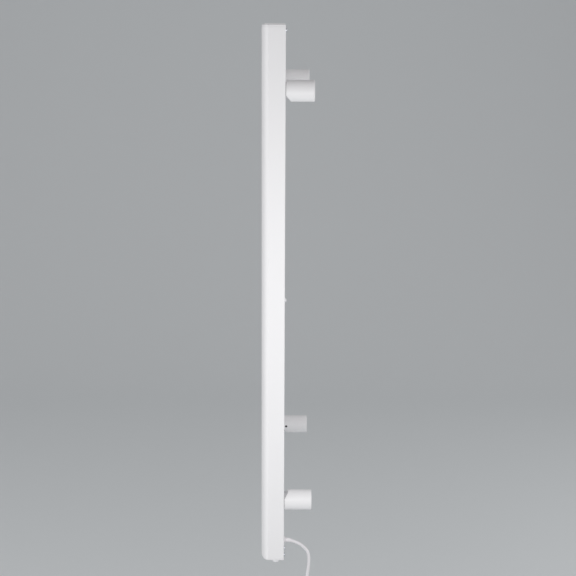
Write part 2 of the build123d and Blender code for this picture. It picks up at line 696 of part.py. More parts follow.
def earth_lug():
    """Ring terminal under the earth screw's nut, with its crimp barrel."""
    middle = INSIDE_BACK_Y - LUG_BARREL_RADIUS - END_GAP
    eye = rod((CAP_SCREW_X, INSIDE_BACK_Y, EARTH_Z), OUTWARD, LUG_RADIUS, LUG_THICKNESS)
    barrel_x = CAP_SCREW_X - LUG_REACH
    strap = block(
        (barrel_x + LUG_BARREL_LENGTH - LUG_OVERLAP, INSIDE_BACK_Y - LUG_THICKNESS, EARTH_Z - LUG_BARREL_RADIUS),
        (CAP_SCREW_X, INSIDE_BACK_Y, EARTH_Z + LUG_BARREL_RADIUS),
    )
    barrel = rod((barrel_x, middle, EARTH_Z), RIGHTWARD, LUG_BARREL_RADIUS, LUG_BARREL_LENGTH)
    depth = PROFILE_WALL + LUG_THICKNESS + OVERCUT
    hole = rod((CAP_SCREW_X, BACK_Y, EARTH_Z), OUTWARD, EARTH_SCREW_RADIUS + SCREW_FIT, depth)
    return eye + strap + barrel - hole


def earth_nut():
    """Six-sided nut on the earth screw."""
    seat = (CAP_SCREW_X, INSIDE_BACK_Y - LUG_THICKNESS, EARTH_Z)
    body = hex_prism(seat, OUTWARD, EARTH_NUT_RADIUS, EARTH_NUT_HEIGHT)
    return body - rod(seat, OUTWARD, EARTH_SCREW_RADIUS + SCREW_FIT, EARTH_NUT_HEIGHT)


def supply_wires():
    """Live, neutral and earth cores, from the cord outlet."""
    start = BACK_Y - GLAND_NECK_LENGTH - END_GAP
    side = OUTER_X - PROFILE_WALL
    pole_x = BLOCK_X + BLOCK_WIDTH - WIRE_ENTRY
    live = wire(
        [
            (AXIS_X + CORE_SIDE, start, GLAND_Z - CORE_SPREAD),
            (AXIS_X + CORE_SIDE, start - CORE_RUN, GLAND_Z - CORE_SPREAD),
            (side - LIVE_LANE_GAP, start - CORE_TURN, GLAND_Z - LIVE_TURN_DROP),
            (side - LIVE_LANE_GAP, BLOCK_WIRE_Y, LIVE_Z),
            (pole_x, BLOCK_WIRE_Y, LIVE_Z),
        ]
    )
    neutral = wire(
        [
            (AXIS_X + CORE_SIDE, start, GLAND_Z + CORE_SPREAD),
            (AXIS_X + CORE_SIDE, start - CORE_RUN, GLAND_Z + CORE_SPREAD),
            (side - NEUTRAL_LANE_GAP, start - CORE_TURN, GLAND_Z + NEUTRAL_TURN_RISE),
            (side - NEUTRAL_LANE_GAP, BLOCK_WIRE_Y, NEUTRAL_Z),
            (pole_x, BLOCK_WIRE_Y, NEUTRAL_Z),
        ]
    )
    lug_y = INSIDE_BACK_Y - LUG_BARREL_RADIUS - END_GAP
    lug_x = CAP_SCREW_X - LUG_REACH
    earth = wire(
        [
            (AXIS_X - EARTH_CORE_SIDE, start, GLAND_Z),
            (AXIS_X - EARTH_CORE_SIDE, start - CORE_RUN, GLAND_Z),
            (lug_x - EARTH_TURN_GAP, start - CORE_RUN, GLAND_Z - EARTH_TURN_DROP),
            (lug_x - EARTH_LANE_GAP, lug_y, EARTH_Z),
            (lug_x - END_GAP, lug_y, EARTH_Z),
        ]
    )
    return [live, neutral, earth]


def switch_wires():
    """Leads from the switch to the live pole and to the heating cable's lower joint."""
    start = SWITCH_TOP_Z + END_GAP
    lane_x = BLOCK_X - BLOCK_LANE_GAP
    to_block = wire(
        [
            (AXIS_X - SWITCH_LEAD_SIDE, SWITCH_Y, start),
            (AXIS_X - SWITCH_LEAD_SIDE, SWITCH_Y, start + SWITCH_LEAD_RUN),
            (lane_x, BAR_Y - SWITCH_TURN_DEPTH, start + SWITCH_TURN_RISE),
            (lane_x, BLOCK_WIRE_Y, LIVE_Z),
            (BLOCK_X + WIRE_ENTRY, BLOCK_WIRE_Y, LIVE_Z),
        ]
    )
    joint_z = CABLE_START_Z - JOINT_LENGTH - END_GAP
    to_heater = wire(
        [
            (AXIS_X + SWITCH_LEAD_SIDE, SWITCH_Y, start),
            (AXIS_X + SWITCH_LEAD_SIDE, SWITCH_Y, start + HEATER_LEAD_RUN),
            (CABLE_TURN_X, BAR_Y, joint_z - HEATER_LEAD_RUN),
            (CABLE_TURN_X, BAR_Y, joint_z),
        ]
    )
    return [to_block, to_heater]


def switch_body():
    """Round housing of the switch, clamped in the bottom cap."""
    base = (AXIS_X, SWITCH_Y, BOTTOM_Z)
    body = rod(base, DOWN, COLLAR_RADIUS, COLLAR_HEIGHT)
    body = fillet(body.edges().sort_by(Axis.Z)[0], BUTTON_EDGE)
    body += rod(base, UP, THREAD_RADIUS, THREAD_HEIGHT)
    body += rod((AXIS_X, SWITCH_Y, BOTTOM_Z + THREAD_HEIGHT), UP, HOUSING_RADIUS, HOUSING_HEIGHT)
    mouth = (AXIS_X, SWITCH_Y, BOTTOM_Z - COLLAR_HEIGHT)
    body -= rod(mouth, UP, BUTTON_RADIUS + BUTTON_FIT, LIP_HEIGHT)
    well = SPRING_Z + SPRING_ROOM
    body -= rod((AXIS_X, SWITCH_Y, LIP_Z), UP, FLANGE_RADIUS + FLANGE_FIT, well - LIP_Z)
    return body - rod((AXIS_X, SWITCH_Y, well), UP, STEM_RADIUS + STEM_FIT, STEM_BORE_DEPTH)


def switch_nut():
    """Ring nut that clamps the switch to the cap."""
    seat = (AXIS_X, SWITCH_Y, UPRIGHT_BOTTOM)
    return ring(seat, UP, SWITCH_NUT_RADIUS, THREAD_RADIUS + SCREW_FIT, SWITCH_NUT_HEIGHT)


def power_button():
    """Round button with the flange that holds it in and the stem that works the contacts."""
    low = BOTTOM_Z - BUTTON_REACH
    foot = rod((AXIS_X, SWITCH_Y, low), UP, BUTTON_RADIUS, FLANGE_Z - low)
    foot = fillet(foot.edges().sort_by(Axis.Z)[0], BUTTON_EDGE)
    flange = rod((AXIS_X, SWITCH_Y, FLANGE_Z), UP, FLANGE_RADIUS, FLANGE_HEIGHT)
    return foot + flange + rod((AXIS_X, SWITCH_Y, SPRING_Z), UP, STEM_RADIUS, STEM_LENGTH)


def button_spring():
    """Coil spring between the button's flange and the housing."""
    edge = SPRING_WIRE + SPRING_END_GAP
    height = SPRING_ROOM - 2 * edge
    coil = Helix(height / SPRING_TURNS, height, SPRING_RADIUS)
    start = Plane(origin=coil @ 0, z_dir=coil % 0)
    spring = sweep(start * Circle(SPRING_WIRE), path=coil, is_frenet=True)
    return Pos(AXIS_X, SWITCH_Y, SPRING_Z + edge) * spring


def cord_relief():
    """Cord outlet: a neck through the upright, a flange, and a tapered sleeve that bends down."""
    seat = (AXIS_X, BACK_Y, GLAND_Z)
    body = rod(seat, OUTWARD, GLAND_NECK_RADIUS, GLAND_NECK_LENGTH)
    body += rod(seat, WALLWARD, GLAND_FLANGE_RADIUS, GLAND_FLANGE_HEIGHT)
    root = BACK_Y + GLAND_FLANGE_HEIGHT
    body += rod((AXIS_X, root, GLAND_Z), WALLWARD, SLEEVE_ROOT_RADIUS, SLEEVE_STRAIGHT)
    sections = []
    for step in range(SLEEVE_SECTIONS + 1):
        share = step / SLEEVE_SECTIONS
        point, way = sleeve_point(share)
        place = Plane(origin=point, x_dir=RIGHTWARD, z_dir=way)
        radius = SLEEVE_ROOT_RADIUS + share * (SLEEVE_TIP_RADIUS - SLEEVE_ROOT_RADIUS)
        sections.append(place * Circle(radius))
    return body + loft(sections)


def relief_nut():
    """Nut that holds the cord outlet from inside."""
    seat = (AXIS_X, INSIDE_BACK_Y, GLAND_Z)
    return ring(seat, OUTWARD, GLAND_NUT_RADIUS, GLAND_NECK_RADIUS + SCREW_FIT, GLAND_NUT_HEIGHT)


def sleeve_point(share):
    """Point on the sleeve's bent middle line, and the direction there."""
    turn = radians(SLEEVE_TURN * share)
    root = BACK_Y + GLAND_FLANGE_HEIGHT + SLEEVE_STRAIGHT
    point = Vector(AXIS_X, root + SLEEVE_BEND * sin(turn), GLAND_Z - SLEEVE_BEND * (1 - cos(turn)))
    return point, Vector(0, cos(turn), -sin(turn))


def cord_route():
    """Points of the cord's free stretch, from the sleeve's tip to the hank."""
    tip, way = sleeve_point(1)
    points = [tuple(tip), tuple(tip + way * CORD_FIRST_RUN)]
    return points + [(AXIS_X, BACK_Y + y, GLAND_Z + z) for y, z in CORD_RUNS]


def biarc(start, start_way, end, end_way):
    """Two tangent arcs between two directed points, or one line where they are in line."""
    chord = end - start
    ways = start_way + end_way
    if chord.normalized().cross(start_way).length < 1e-6 and start_way.cross(end_way).length < 1e-6:
        if chord.dot(start_way) > 0:
            return [Edge.make_line(start, end)]
    spread = 4 - ways.dot(ways)
    along = chord.dot(ways)
    if spread < 1e-6:
        reach = chord.dot(chord) / (2 * along)
    else:
        reach = (sqrt(along * along + spread * chord.dot(chord)) - along) / spread
    joint = (start + start_way * reach + end - end_way * reach) / 2
    joint_way = (chord - ways * reach).normalized()
    return [
        Edge.make_tangent_arc(start, start_way, joint),
        Edge.make_tangent_arc(joint, joint_way, end),
    ]


def hank_frame():
    """Middle of the hank's waist, on its first layer."""
    end = cord_route()[-1]
    outer = BELLY_HALF + (HANK_LANES - 1) * LANE_STEP
    return Vector(end[0] - outer, end[1], end[2] - HANK_LEAD_IN - BELLY_HEIGHT)


def hank_stations():
    """Directed points of the hank, from the free stretch to the plug."""
    middle = hank_frame()
    start = Vector(*cord_route()[-1])
    down, up = Vector(0, 0, -1), Vector(0, 0, 1)
    stations = [(start, down)]
    first_half = 2 * HANK_LANES
    runs = 4 * HANK_LANES - 1
    for run in range(runs):
        lane = run // 2 if run < first_half else (4 * HANK_LANES - 2 - run) // 2
        extra = (HANK_LANES - 1 - lane) * LANE_STEP
        side = 1 if run % 2 == 0 else -1
        way = down if side > 0 else up
        depths = [0, 0, 0] if run < first_half else [-LAYER_STEP] * 3
        if run == first_half - 1:
            depths[2] = -LAYER_STEP
        widths = [BELLY_HALF, WAIST_HALF, BELLY_HALF]
        levels = [side * BELLY_HEIGHT, 0, -side * BELLY_HEIGHT]
        for width, depth, level in zip(widths, depths, levels):
            stations.append((middle + Vector(side * (width + extra), depth, level), way))
    stations.pop()
    waist = stations[-1][0]
    tail = Vector(waist.X, waist.Y - TAIL_REACH, middle.Z - TAIL_DROP)
    stations.append((tail, down))
    stations.append((tail + down * TAIL_END, down))
    return stations


def hank_path():
    """The hank's centreline as one wire of arcs and lines."""
    edges = []
    stations = hank_stations()
    for (start, start_way), (end, end_way) in zip(stations, stations[1:]):
        edges += biarc(start, start_way, end, end_way)
    return Wire(edges)


def least_gap(path, diameter, step=1.5):
    """Smallest clear gap of a wound cord to itself, measured on points."""
    count = round(path.length / step)
    points = [tuple(path @ (number / count)) for number in range(count + 1)]
    apart = round(5 * diameter / step)
    nearest = min(
        dist(points[first], points[second])
        for first in range(count + 1)
        for second in range(first + apart, count + 1)
    )
    return nearest - diameter


def cord_tie():
    """Flat band round the hank's waist."""
    middle = hank_frame()
    half = WAIST_HALF + (HANK_LANES - 1) * LANE_STEP + CORD_RADIUS + TIE_GAP
    front, back = middle.Y - LAYER_STEP - CORD_RADIUS - TIE_GAP, middle.Y + CORD_RADIUS + TIE_GAP
    low, high = middle.Z - TIE_WIDTH / 2, middle.Z + TIE_WIDTH / 2
    inner = block((middle.X - half, front, low), (middle.X + half, back, high))
    grow = TIE_THICKNESS
    outer = block((middle.X - half - grow, front - grow, low), (middle.X + half + grow, back + grow, high))
    outer = fillet(outer.edges().filter_by(Axis.Z), 2 * grow)
    return outer - inner


def plug_base():
    """Where the cord's end meets the plug."""
    return hank_stations()[-1][0]


def plug_body():
    """Moulded plug: a cord sleeve, a tapered grip and a round front with two side flats."""
    x, y, z = plug_base()
    sleeve = cone((x, y, z), DOWN, PLUG_SLEEVE_ROOT, PLUG_SLEEVE_END, PLUG_SLEEVE_LENGTH)
    grip_length = PLUG_LENGTH - PLUG_FRONT_HEIGHT
    grip_z = z - PLUG_SLEEVE_LENGTH
    grip = cone((x, y, grip_z), DOWN, PLUG_BACK_RADIUS, PLUG_FRONT_RADIUS, grip_length)
    front = rod((x, y, grip_z - grip_length), DOWN, PLUG_FRONT_RADIUS, PLUG_FRONT_HEIGHT)
    body = sleeve + grip + front
    flat, outer = PLUG_FRONT_RADIUS - PLUG_FLAT_DEPTH, PLUG_FRONT_RADIUS + OVERCUT
    low = grip_z - PLUG_LENGTH - OVERCUT
    for near, far in ((y + flat, y + outer), (y - outer, y - flat)):
        body -= block((x - outer, near, low), (x + outer, far, grip_z))
    for pocket in contact_boxes():
        body -= pocket
    return body


def contact_boxes():
    """The two earth contacts, as they lie in the plug's front, level with its face."""
    x, y, z = plug_base()
    face_z = z - PLUG_SLEEVE_LENGTH - PLUG_LENGTH
    boxes = []
    for side in (1, -1):
        outer = y + side * (PLUG_FRONT_RADIUS - CONTACT_INSET)
        inner = outer - side * CONTACT_THICKNESS
        boxes.append(
            block(
                (x - CONTACT_WIDTH / 2, min(outer, inner), face_z),
                (x + CONTACT_WIDTH / 2, max(outer, inner), face_z + CONTACT_LENGTH),
            )
        )
    return boxes


def plug_pins():
    """The plug's two round pins."""
    x, y, z = plug_base()
    face_z = z - PLUG_SLEEVE_LENGTH - PLUG_LENGTH
    pins = []
    for side in (1, -1):
        pin = rod((x + side * PIN_SPREAD, y, face_z), DOWN, PIN_RADIUS, PIN_LENGTH)
        pins.append(fillet(pin.edges().sort_by(Axis.Z)[0], PIN_RADIUS * PIN_ROUNDING_SHARE))
    return pins


def save(name, shape):
    """Write one node: a solid, or a group of separate solids."""
    if isinstance(shape, list):
        shape = Compound(children=shape)
    export_step(shape, f"parts/{name}.step")


def save_rail_frame():
    """Uprights, bars, caps and their screws."""
    plain = right_upright()
    drilled = plain
    for hole in cord_side_holes():
        drilled -= hole
    save("upright_right", drilled)
    save("upright_left", mirror(plain, about=Plane.YZ))
    for number, height in enumerate(BAR_HEIGHTS, start=1):
        save(f"towel_bar_{number:02d}", towel_bar(height))
    top = right_cap(1, TOP_SPIGOT)
    save("cap_top_right", top)
    save("cap_top_left", mirror(top, about=Plane.YZ))
    save("cap_bottom_right", switch_cap())
    save("cap_bottom_left", mirror(right_cap(-1, BOTTOM_SPIGOT), about=Plane.YZ))
    save("cap_screws", cap_screws())


def save_wall_side():
    """Wall posts, necks and what fastens them."""
    corners = [(side, level) for side in (1, -1) for level in (1, -1)]
    for side, level in corners:
        place = f"{'top' if level > 0 else 'bottom'}_{'right' if side > 0 else 'left'}"
        save(f"wall_post_{place}", wall_post(side, level))
        save(f"neck_{place}", neck(side, level))
    save("post_set_screws", [set_screw(*corner) for corner in corners])
    save("neck_bolts", [neck_bolt(*corner) for corner in corners])
    save("rivet_nuts", [rivet_nut(*corner) for corner in corners])


def save_electrics():
    """Heating cable, cut-out, terminals, wires and switch."""
    earth_seat = (CAP_SCREW_X, BACK_Y, EARTH_Z)
    save("heating_cable", heating_cable())
    save("heater_joints", heater_joints())
    save("thermal_cutout", thermal_cutout())
    save("cutout_clip", cutout_clip())
    save("cutout_rivet", cutout_rivet())
    save("return_lead_upper", return_lead_upper())
    save("return_lead_lower", return_lead_lower())
    save("terminal_block", terminal_block())
    save("terminal_screws", terminal_screws())
    save("earth_screw", pan_screw(earth_seat, OUTWARD, EARTH_SCREW_RADIUS, EARTH_SCREW_LENGTH))
    save("earth_nut", earth_nut())
    save("earth_lug", earth_lug())
    save("supply_wires", supply_wires())
    save("switch_wires", switch_wires())
    save("switch_body", switch_body())
    save("switch_nut", switch_nut())
    save("power_button", power_button())
    save("button_spring", button_spring())


def save_cord():
    """Cord outlet, free stretch, hank and plug, with the cord's measures printed."""
    route = cord_route()
    radii = corner_radii(route, HEIGHT)
    free = FilletPolyline(*route, radius=radii)
    hank = hank_path()
    free_tube, hank_tube = tube(free, CORD_RADIUS), tube(hank, CORD_RADIUS)
    section = pi * CORD_RADIUS**2
    save("cord_relief", cord_relief())
    save("relief_nut", relief_nut())
    save("mains_cord", free_tube)
    save("cord_hank", hank_tube)
    save("cord_tie", cord_tie())
    save("plug_body", plug_body())
    save("plug_pins", plug_pins())
    save("plug_earth_contacts", contact_boxes())
    print("cord radii", [round(radius, 1) for radius in radii])
    print("free stretch", round(free.length, 1), "hank", round(hank.length, 1))
    print("volume over section times length", round(free_tube.volume / section / free.length, 4),
          round(hank_tube.volume / section / hank.length, 4))
    print("least gap of the hank to itself", round(least_gap(hank, 2 * CORD_RADIUS), 2))


def main():
    """Write every piece of the towel rail."""
    os.makedirs("parts", exist_ok=True)
    save_rail_frame()
    save_wall_side()
    save_electrics()
    save_cord()


main()
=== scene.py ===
import json
import logging
from dataclasses import dataclass, field
from enum import Enum
from math import atan2, cos, pi, radians, sin, tau

import bmesh
import bpy
from mathutils import Matrix, Vector


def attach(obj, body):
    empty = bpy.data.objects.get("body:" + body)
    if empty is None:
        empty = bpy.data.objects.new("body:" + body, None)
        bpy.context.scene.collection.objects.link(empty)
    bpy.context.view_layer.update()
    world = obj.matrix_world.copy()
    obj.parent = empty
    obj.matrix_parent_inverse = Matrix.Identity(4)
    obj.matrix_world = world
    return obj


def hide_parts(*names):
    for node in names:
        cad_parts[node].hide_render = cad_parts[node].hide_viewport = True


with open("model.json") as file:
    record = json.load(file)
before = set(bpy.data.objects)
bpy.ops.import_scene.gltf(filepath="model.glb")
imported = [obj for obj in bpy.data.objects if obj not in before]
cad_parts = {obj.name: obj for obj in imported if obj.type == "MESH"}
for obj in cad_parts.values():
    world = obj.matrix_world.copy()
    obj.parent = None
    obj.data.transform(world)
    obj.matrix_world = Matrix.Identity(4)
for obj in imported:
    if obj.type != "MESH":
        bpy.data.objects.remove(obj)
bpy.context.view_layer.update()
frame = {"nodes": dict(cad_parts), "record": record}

log = logging.getLogger("towel_rail")

MM = 0.001
SHARP_ANGLE = radians(32)
ROUND_PROFILE = 0.5
WELD_DISTANCE = 1e-7
BUMP_DETAIL = 2.0
TONE_DETAIL = 3.0
UP = Vector((0, 0, 1))
Point = tuple[float, float, float]
Colour = tuple[float, float, float]
Profile = list[tuple[float, float]]


class Body(Enum):
    """Rigid bodies of the frame that new pieces ride on."""

    RAIL = "rail"
    BUTTON = "button"


class Slot(Enum):
    """Material slots of the record."""

    WHITE_COAT = "white_coat"
    # The grey of this slot is painted shade: it darkens the necks seen through the posts' notches.
    GREY_COAT = "grey_coat"
    CAP_PLASTIC = "cap_plastic"
    BUTTON_PLASTIC = "button_plastic"
    DARK_PLASTIC = "dark_plastic"
    ZINC = "zinc"
    BLACK_STEEL = "black_steel"
    WHITE_SCREW = "white_screw"
    BRASS = "brass"
    CABLE_RUBBER = "cable_rubber"
    JOINT_SLEEVE = "joint_sleeve"
    WIRE_PLASTIC = "wire_plastic"
    CORD_PLASTIC = "cord_plastic"
    TIE_PLASTIC = "tie_plastic"
    PLUG_PLASTIC = "plug_plastic"
    PIN_METAL = "pin_metal"
    SPRING_STEEL = "spring_steel"


@dataclass(frozen=True)
class Finish:
    """One surface finish.

    Attributes:
        slot: The record's slot that it dresses.
        colour: Base colour, linear.
        roughness: Mean roughness of the shader.
        metallic: 1 for bare metal, else 0.
        grain: Width of the small bumps, in metres.
        relief: Height of the small bumps, in metres.
        tone: Width of the slow changes of colour and gloss, in metres.
        shade: How far the slow changes darken the colour, from 0 to 1.
        gloss_spread: How far the slow changes move the roughness.
    """

    slot: Slot
    colour: Colour
    roughness: float
    metallic: float = 0.0
    grain: float = 0.0016
    relief: float = 0.000012
    tone: float = 0.12
    shade: float = 0.03
    gloss_spread: float = 0.06


FINISHES: tuple[Finish, ...] = (
    Finish(Slot.WHITE_COAT, (0.865, 0.86, 0.868), 0.52, relief=0.00002),
    # Neck coat: the grey is painted shade, standing in for the shadow on the necks behind the posts'
    # notches.
    Finish(Slot.GREY_COAT, (0.55, 0.55, 0.565), 0.42, relief=0.00002),
    Finish(Slot.CAP_PLASTIC, (0.845, 0.84, 0.848), 0.42, grain=0.0006, relief=0.000008),
    Finish(Slot.BUTTON_PLASTIC, (0.86, 0.86, 0.87), 0.26, grain=0.0009, relief=0.000004),
    Finish(Slot.DARK_PLASTIC, (0.03, 0.03, 0.034), 0.5, grain=0.0006),
    Finish(Slot.ZINC, (0.66, 0.68, 0.72), 0.3, metallic=1.0, grain=0.0005, shade=0.12),
    Finish(Slot.BLACK_STEEL, (0.035, 0.035, 0.038), 0.35, metallic=1.0, grain=0.0004),
    Finish(Slot.WHITE_SCREW, (0.84, 0.84, 0.85), 0.3, grain=0.0008),
    Finish(Slot.BRASS, (0.72, 0.52, 0.24), 0.28, metallic=1.0, grain=0.0005, shade=0.12),
    Finish(Slot.CABLE_RUBBER, (0.36, 0.06, 0.035), 0.6, grain=0.0007, shade=0.08),
    Finish(Slot.JOINT_SLEEVE, (0.05, 0.05, 0.055), 0.45, grain=0.001, relief=0.00004),
    Finish(Slot.WIRE_PLASTIC, (0.08, 0.13, 0.42), 0.35, grain=0.0012),
    Finish(Slot.CORD_PLASTIC, (0.80, 0.785, 0.80), 0.4, grain=0.0012, relief=0.000015, tone=0.05),
    Finish(Slot.TIE_PLASTIC, (0.70, 0.70, 0.71), 0.5, grain=0.0006, shade=0.06),
    Finish(Slot.PLUG_PLASTIC, (0.80, 0.80, 0.81), 0.46, grain=0.0005, relief=0.00002, tone=0.03),
    Finish(Slot.PIN_METAL, (0.72, 0.70, 0.66), 0.2, metallic=1.0, grain=0.0006, shade=0.08),
    Finish(Slot.SPRING_STEEL, (0.45, 0.45, 0.47), 0.3, metallic=1.0, grain=0.0004),
)


def surface_group() -> bpy.types.NodeTree:
    """Build the shared node group of small bumps and slow changes of tone.

    Returns:
        The node group, with inputs Position, Grain and Tone and outputs Height and Mask.
    """
    group = bpy.data.node_groups.new("coat_surface", "ShaderNodeTree")
    sockets = group.interface
    sockets.new_socket("Position", in_out="INPUT", socket_type="NodeSocketVector")
    for name in ("Grain", "Tone"):
        sockets.new_socket(name, in_out="INPUT", socket_type="NodeSocketFloat")
    for name in ("Height", "Mask"):
        sockets.new_socket(name, in_out="OUTPUT", socket_type="NodeSocketFloat")
    nodes, links = group.nodes, group.links
    inputs, outputs = nodes.new("NodeGroupInput"), nodes.new("NodeGroupOutput")
    for name, width, detail, target in (
        ("small bumps", "Grain", BUMP_DETAIL, "Height"),
        ("slow tone", "Tone", TONE_DETAIL, "Mask"),
    ):
        per_metre = nodes.new("ShaderNodeMath")
        per_metre.operation = "DIVIDE"
        per_metre.inputs[0].default_value = 1.0
        links.new(inputs.outputs[width], per_metre.inputs[1])
        noise = nodes.new("ShaderNodeTexNoise")
        noise.label = name
        noise.inputs["Detail"].default_value = detail
        links.new(inputs.outputs["Position"], noise.inputs["Vector"])
        links.new(per_metre.outputs[0], noise.inputs["Scale"])
        links.new(noise.outputs["Fac"], outputs.inputs[target])
    return group


@dataclass
class Paintbox:
    """Makes each finish's material once, and dresses pieces with it."""

    group: bpy.types.NodeTree = field(default_factory=surface_group)
    made: dict[str, bpy.types.Material] = field(default_factory=dict)

    def mix(self, finish: Finish) -> bpy.types.Material:
        """Build the material of a finish.

        Args:
            finish: The finish to build.

        Returns:
            The material.
        """
        material = bpy.data.materials.new(finish.slot.value)
        material.use_nodes = True
        nodes, links = material.node_tree.nodes, material.node_tree.links
        shader = nodes["Principled BSDF"]
        shader.inputs["Metallic"].default_value = finish.metallic
        place = nodes.new("ShaderNodeTexCoord")
        surface = nodes.new("ShaderNodeGroup")
        surface.node_tree = self.group
        surface.inputs["Grain"].default_value = finish.grain
        surface.inputs["Tone"].default_value = finish.tone
        links.new(place.outputs["Object"], surface.inputs["Position"])
        tint = nodes.new("ShaderNodeMix")
        tint.data_type = "RGBA"
        tint.inputs["A"].default_value = (*(part * (1 - finish.shade) for part in finish.colour), 1)
        tint.inputs["B"].default_value = (*finish.colour, 1)
        links.new(surface.outputs["Mask"], tint.inputs["Factor"])
        links.new(tint.outputs["Result"], shader.inputs["Base Color"])
        gloss = nodes.new("ShaderNodeMapRange")
        gloss.inputs["To Min"].default_value = finish.roughness - finish.gloss_spread
        gloss.inputs["To Max"].default_value = finish.roughness + finish.gloss_spread
        links.new(surface.outputs["Mask"], gloss.inputs["Value"])
        links.new(gloss.outputs["Result"], shader.inputs["Roughness"])
        bump = nodes.new("ShaderNodeBump")
        bump.inputs["Distance"].default_value = finish.relief
        links.new(surface.outputs["Height"], bump.inputs["Height"])
        links.new(bump.outputs["Normal"], shader.inputs["Normal"])
        return material

    def dress(self, piece: bpy.types.Object, slot: Slot) -> None:
        """Give a piece the material of a slot, and nothing else.

        Args:
            piece: The object to dress.
            slot: The slot whose finish it takes.
        """
        if slot.value not in self.made:
            finish = next(finish for finish in FINISHES if finish.slot is slot)
            self.made[slot.value] = self.mix(finish)
        piece.data.materials.clear()
        piece.data.materials.append(self.made[slot.value])

    def dress_frame(self) -> None:
        """Dress every CAD node with the finish of its own slot."""
        for part in frame["record"]["subparts"]:
            self.dress(frame["nodes"][part["node"]], Slot(part["material_slot"]))
        log.info("dressed %d frame nodes", len(frame["nodes"]))


def ease(share: float) -> float:
    """Rise smoothly from 0 to 1.

    Args:
        share: How far along, from 0 to 1.

    Returns:
        How far up, from 0 to 1.
    """
    return (1 - cos(pi * share)) / 2


def add_object(name: str, data: bpy.types.ID) -> bpy.types.Object:
    """Make an object from its data and link it to the scene.

    Args:
        name: Name of the object.
        data: Its mesh, curve, camera or light.

    Returns:
        The linked object.
    """
    made = bpy.data.objects.new(name, data)
    bpy.context.scene.collection.objects.link(made)
    return made


def lathe(profile: Profile, steps: int = 64) -> bmesh.types.BMesh:
    """Spin a profile about Z into a closed shape.

    Args:
        profile: Radius and height of each corner, from pole to pole.
        steps: Number of sides.

    Returns:
        The spun mesh, with its poles closed.
    """
    mesh = bmesh.new()
    corners = [mesh.verts.new((radius, 0, height)) for radius, height in profile]
    edges = [mesh.edges.new(pair) for pair in zip(corners, corners[1:])]
    bmesh.ops.spin(
        mesh, geom=corners + edges, cent=(0, 0, 0), axis=UP, angle=tau, steps=steps, use_merge=True
    )
    bmesh.ops.remove_doubles(mesh, verts=mesh.verts, dist=WELD_DISTANCE)
    bmesh.ops.recalc_face_normals(mesh, faces=mesh.faces)
    return mesh


def sharp_edges(mesh: bmesh.types.BMesh, turn: float) -> list[bmesh.types.BMEdge]:
    """Find the edges where two faces meet at more than an angle.

    Args:
        mesh: The mesh to search.
        turn: Least angle between the faces, in radians.

    Returns:
        The edges found.
    """
    return [edge for edge in mesh.edges if edge.is_manifold and edge.calc_face_angle() > turn]


def bevel(mesh: bmesh.types.BMesh, edges: list[bmesh.types.BMEdge], width: float, segments: int) -> None:
    """Round some edges of a mesh.

    Args:
        mesh: The mesh to change.
        edges: The edges to round.
        width: Width of the rounding, in metres.
        segments: Number of faces across each rounding.
    """
    bmesh.ops.bevel(
        mesh,
        geom=edges,
        offset=width,
        segments=segments,
        profile=ROUND_PROFILE,
        affect="EDGES",
        material=-1,
    )


def stand(mesh: bmesh.types.BMesh, origin: Point, way: Vector) -> None:
    """Turn a mesh from Z to a direction and move it to a point.

    Args:
        mesh: The mesh to change.
        origin: Where its own origin goes.
        way: Where its own Z axis points.
    """
    turn = UP.rotation_difference(way).to_matrix().to_4x4()
    bmesh.ops.transform(mesh, matrix=Matrix.Translation(origin) @ turn, verts=mesh.verts)


def settle(mesh: bmesh.types.BMesh, name: str) -> bpy.types.Object:
    """Make an object at the origin from a mesh, smooth but for its sharp edges.

    Args:
        mesh: The mesh, which is freed.
        name: Name of the piece.

    Returns:
        The linked object.
    """
    for face in mesh.faces:
        face.smooth = True
    data = bpy.data.meshes.new(name)
    mesh.to_mesh(data)
    mesh.free()
    data.set_sharp_from_angle(angle=SHARP_ANGLE)
    return add_object(name, data)


def enlist(piece: bpy.types.Object, body: Body, slot: Slot, paint: Paintbox, *nodes: str) -> None:
    """Dress a new piece, tie it to its body and let it stand for CAD nodes.

    Args:
        piece: The new piece.
        body: The body that it rides on.
        slot: The slot of its finish.
        paint: The materials.
        nodes: CAD nodes that it replaces.
    """
    paint.dress(piece, slot)
    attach(piece, body.value)
    if nodes:
        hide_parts(*nodes)
    log.info("made %s on %s", piece.name, body.value)


@dataclass
class StudioCamera:
    """Camera level with the rail's top, on its right, looking along its width and a little down."""

    place: Point = (2.5173, -0.0606, 0.5147)
    pitch: float = radians(-12.05)
    yaw: float = radians(0.36)
    roll: float = radians(0.263)
    focal_px: float = 1273.7
    frame_px: float = 576.0
    sensor_mm: float = 36.0

    def build(self) -> bpy.types.Object:
        """Make the camera the scene's own.

        Returns:
            The camera object.
        """
        data = bpy.data.cameras.new("studio_camera")
        data.sensor_width = self.sensor_mm
        data.lens = self.focal_px / self.frame_px * self.sensor_mm
        camera = add_object("studio_camera", data)
        level = cos(self.pitch)
        look = Vector((-level * cos(self.yaw), level * sin(self.yaw), sin(self.pitch)))
        turn = look.to_track_quat("-Z", "Y").to_matrix() @ Matrix.Rotation(self.roll, 3, "Z")
        camera.matrix_world = Matrix.Translation(self.place) @ turn.to_4x4()
        bpy.context.scene.camera = camera
        return camera


@dataclass(frozen=True)
class Softbox:
    """One rectangular soft light.

    Attributes:
        name: Name of the light.
        place: Where it hangs.
        size: Its width and height, in metres.
        power: Its power, in watts.
    """

    name: str
    place: Point
    size: tuple[float, float]
    power: float


